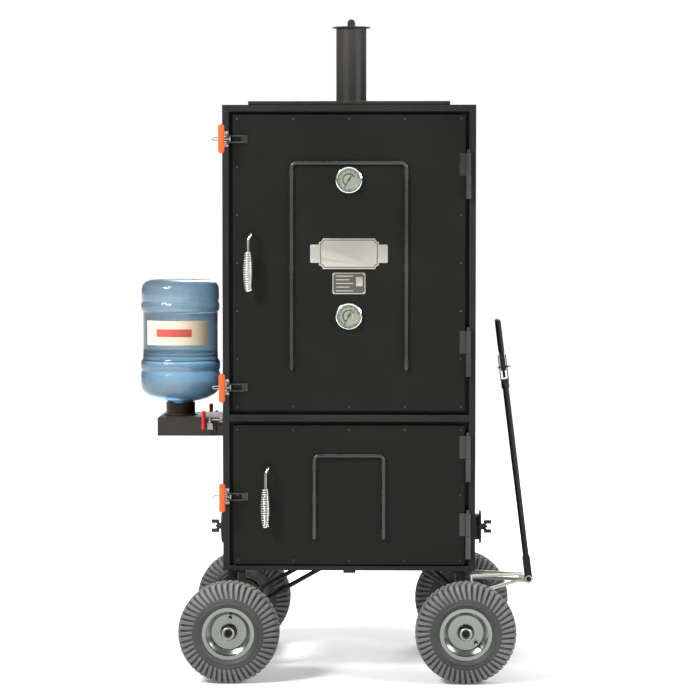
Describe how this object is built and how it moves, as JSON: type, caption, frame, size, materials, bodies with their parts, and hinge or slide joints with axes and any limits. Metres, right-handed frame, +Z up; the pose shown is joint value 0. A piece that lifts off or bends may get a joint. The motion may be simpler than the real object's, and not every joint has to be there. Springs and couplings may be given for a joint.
{
  "type": "vertical water smoker",
  "caption": "Tall insulated two-door charcoal water smoker on a steerable wheeled cart, with chimney, side water tank with inverted bottle, toggle latches and tow handle.",
  "frame": {"origin": "on the ground, under the middle of the whole object's box", "axes": "+Z up; +X towards the tow handle and away from the water tank; -Y is the door side"},
  "size_m": [1.336, 0.927, 2.1863],
  "materials": {
    "black_paint": "satin black heat-proof paint",
    "dark_steel": "satin dark paint",
    "chimney_paint": "satin dark paint",
    "wool": "matt mineral wool",
    "gasket_rope": "woven glass rope",
    "stainless": "brushed",
    "nickel_wire": "bright nickel plate",
    "chrome_case": "polished",
    "needle_black": "matt",
    "plate_metal": "brushed",
    "zinc_fittings": "zinc plate",
    "orange_grip": "dipped soft plastic",
    "red_grip": "dipped soft plastic",
    "bottle_blue": "clear blue plastic",
    "tyre_rubber": "dusty rubber",
    "rim_zinc": "silver-green metallic"
  },
  "bodies": {
    "cart": {"frame_rails": "black_paint", "outer_panels": "black_paint", "liner": "dark_steel", "insulation": "wool", "underframe": "dark_steel", "chimney_pipe": "chimney_paint", "rack_rails": "dark_steel", "cooking_racks": "stainless", "water_pan": "stainless", "feed_pipe": "stainless", "charcoal_basket": "dark_steel", "ash_pan": "dark_steel", "frame_knuckles": "dark_steel", "latch_bases": "zinc_fittings", "vent_necks": "dark_steel", "water_tank": "dark_steel", "tank_bracket": "dark_steel", "tank_collar": "dark_steel", "fixed_axle": "dark_steel"},
    "cap": {"chimney_cap": "chimney_paint"},
    "damper_left": {"damper_left": "dark_steel"},
    "damper_right": {"damper_right": "dark_steel"},
    "upper_door": {"upper_door_pan": "black_paint", "upper_door_liner": "dark_steel", "upper_gasket": "gasket_rope", "upper_stiffener": "black_paint", "upper_handle": "nickel_wire", "upper_door_fittings": "black_paint", "thermometer_cases": "chrome_case", "door_plates": "plate_metal"},
    "needle_upper": {"needle_upper": "needle_black"},
    "needle_lower": {"needle_lower": "needle_black"},
    "lower_door": {"lower_door_pan": "black_paint", "lower_door_liner": "dark_steel", "lower_gasket": "gasket_rope", "lower_stiffener": "black_paint", "lower_handle": "nickel_wire", "lower_door_fittings": "black_paint"},
    "latch_top": {"latch_lever_top": "orange_grip"},
    "latch_middle": {"latch_lever_middle": "orange_grip"},
    "latch_bottom": {"latch_lever_bottom": "orange_grip"},
    "bolt_top": {"latch_bolt_top": "zinc_fittings"},
    "bolt_middle": {"latch_bolt_middle": "zinc_fittings"},
    "bolt_bottom": {"latch_bolt_bottom": "zinc_fittings"},
    "bottle": {"water_bottle": "bottle_blue"},
    "clamp_front": {"tank_clamp_front": "red_grip"},
    "clamp_rear": {"tank_clamp_rear": "red_grip"},
    "steering": {"steer_axle": "dark_steel", "tongue": "zinc_fittings"},
    "tow_handle": {"tow_tube": "dark_steel"},
    "grip": {"tow_grip": "dark_steel"},
    "pin": {"hitch_pin": "zinc_fittings"},
    "wheel_front_left": {"tyre_front_left": "tyre_rubber", "rim_front_left": "rim_zinc"},
    "wheel_front_right": {"tyre_front_right": "tyre_rubber", "rim_front_right": "rim_zinc"},
    "wheel_rear_left": {"tyre_rear_left": "tyre_rubber", "rim_rear_left": "rim_zinc"},
    "wheel_rear_right": {"tyre_rear_right": "tyre_rubber", "rim_rear_right": "rim_zinc"}
  },
  "joints": [
    {"name": "chimney_cap_swivel", "type": "hinge", "parent": "cart", "child": "cap", "pos_m": [0.049, 0.058, 2.156], "axis": [0, 0, 1], "range_deg": [0, 110]},
    {"name": "damper_left_turn", "type": "hinge", "parent": "cart", "child": "damper_left", "pos_m": [-0.396, 0, 0.465], "axis": [1, 0, 0], "range_deg": [0, 45]},
    {"name": "damper_right_turn", "type": "hinge", "parent": "cart", "child": "damper_right", "pos_m": [0.494, 0, 0.465], "axis": [1, 0, 0], "range_deg": [0, 45]},
    {"name": "upper_door_swing", "type": "hinge", "parent": "cart", "child": "upper_door", "pos_m": [0.439, -0.342, 1.073], "axis": [0, 0, 1], "range_deg": [0, 175]},
    {"name": "lower_door_swing", "type": "hinge", "parent": "cart", "child": "lower_door", "pos_m": [0.439, -0.342, 0.473], "axis": [0, 0, 1], "range_deg": [0, 175]},
    {"name": "thermometer_upper_needle", "type": "hinge", "parent": "upper_door", "child": "needle_upper", "pos_m": [0.049, -0.344, 1.641], "axis": [0, 1, 0], "range_deg": [0, 290]},
    {"name": "thermometer_lower_needle", "type": "hinge", "parent": "upper_door", "child": "needle_lower", "pos_m": [0.049, -0.344, 1.196], "axis": [0, 1, 0], "range_deg": [0, 290]},
    {"name": "latch_top_lever", "type": "hinge", "parent": "cart", "child": "latch_top", "pos_m": [-0.353, -0.343, 1.774], "axis": [0, 0, 1], "range_deg": [0, 55]},
    {"name": "latch_top_bolt", "type": "hinge", "parent": "latch_top", "child": "bolt_top", "pos_m": [-0.367, -0.35, 1.774], "axis": [0, 0, 1], "range_deg": [-55, 0]},
    {"name": "latch_middle_lever", "type": "hinge", "parent": "cart", "child": "latch_middle", "pos_m": [-0.353, -0.343, 0.962], "axis": [0, 0, 1], "range_deg": [0, 55]},
    {"name": "latch_middle_bolt", "type": "hinge", "parent": "latch_middle", "child": "bolt_middle", "pos_m": [-0.367, -0.35, 0.962], "axis": [0, 0, 1], "range_deg": [-55, 0]},
    {"name": "latch_bottom_lever", "type": "hinge", "parent": "cart", "child": "latch_bottom", "pos_m": [-0.353, -0.343, 0.602], "axis": [0, 0, 1], "range_deg": [0, 55]},
    {"name": "latch_bottom_bolt", "type": "hinge", "parent": "latch_bottom", "child": "bolt_bottom", "pos_m": [-0.367, -0.35, 0.602], "axis": [0, 0, 1], "range_deg": [-55, 0]},
    {"name": "tank_clamp_front_lever", "type": "hinge", "parent": "cart", "child": "clamp_front", "pos_m": [-0.422, -0.152, 0.84], "axis": [0, 0, -1], "range_deg": [0, 45]},
    {"name": "tank_clamp_rear_lever", "type": "hinge", "parent": "cart", "child": "clamp_rear", "pos_m": [-0.422, 0.152, 0.84], "axis": [0, 0, 1], "range_deg": [0, 45]},
    {"name": "bottle_lift", "type": "slide", "parent": "cart", "child": "bottle", "axis": [0, 0, 1], "range_m": [0, 0.15]},
    {"name": "steering_kingpin", "type": "hinge", "parent": "cart", "child": "steering", "pos_m": [0.432, 0, 0.165], "axis": [0, 0, 1], "range_deg": [-28, 28]},
    {"name": "tow_handle_pivot", "type": "hinge", "parent": "steering", "child": "tow_handle", "pos_m": [0.654, 0, 0.287], "axis": [0, 1, 0], "range_deg": [0, 105]},
    {"name": "tow_grip_fold", "type": "hinge", "parent": "tow_handle", "child": "grip", "pos_m": [0.56528, 0, 1.00957], "axis": [0.9925, 0, 0.1219], "range_deg": [-90, 90]},
    {"name": "hitch_pin_pull", "type": "slide", "parent": "tow_handle", "child": "pin", "axis": [0.9925, 0, 0.1219], "range_m": [0, 0.05]},
    {"name": "wheel_front_left_spin", "type": "hinge", "parent": "cart", "child": "wheel_front_left", "pos_m": [-0.342, -0.4, 0.165], "axis": [0, 1, 0], "continuous": true},
    {"name": "wheel_rear_left_spin", "type": "hinge", "parent": "cart", "child": "wheel_rear_left", "pos_m": [-0.342, 0.4, 0.165], "axis": [0, 1, 0], "continuous": true},
    {"name": "wheel_front_right_spin", "type": "hinge", "parent": "steering", "child": "wheel_front_right", "pos_m": [0.432, -0.4, 0.165], "axis": [0, 1, 0], "continuous": true},
    {"name": "wheel_rear_right_spin", "type": "hinge", "parent": "steering", "child": "wheel_rear_right", "pos_m": [0.432, 0.4, 0.165], "axis": [0, 1, 0], "continuous": true}
  ],
  "couplings": [
    {"joint": "latch_top_bolt", "follows": "latch_top_lever", "ratio": -1},
    {"joint": "latch_middle_bolt", "follows": "latch_middle_lever", "ratio": -1},
    {"joint": "latch_bottom_bolt", "follows": "latch_bottom_lever", "ratio": -1}
  ]
}
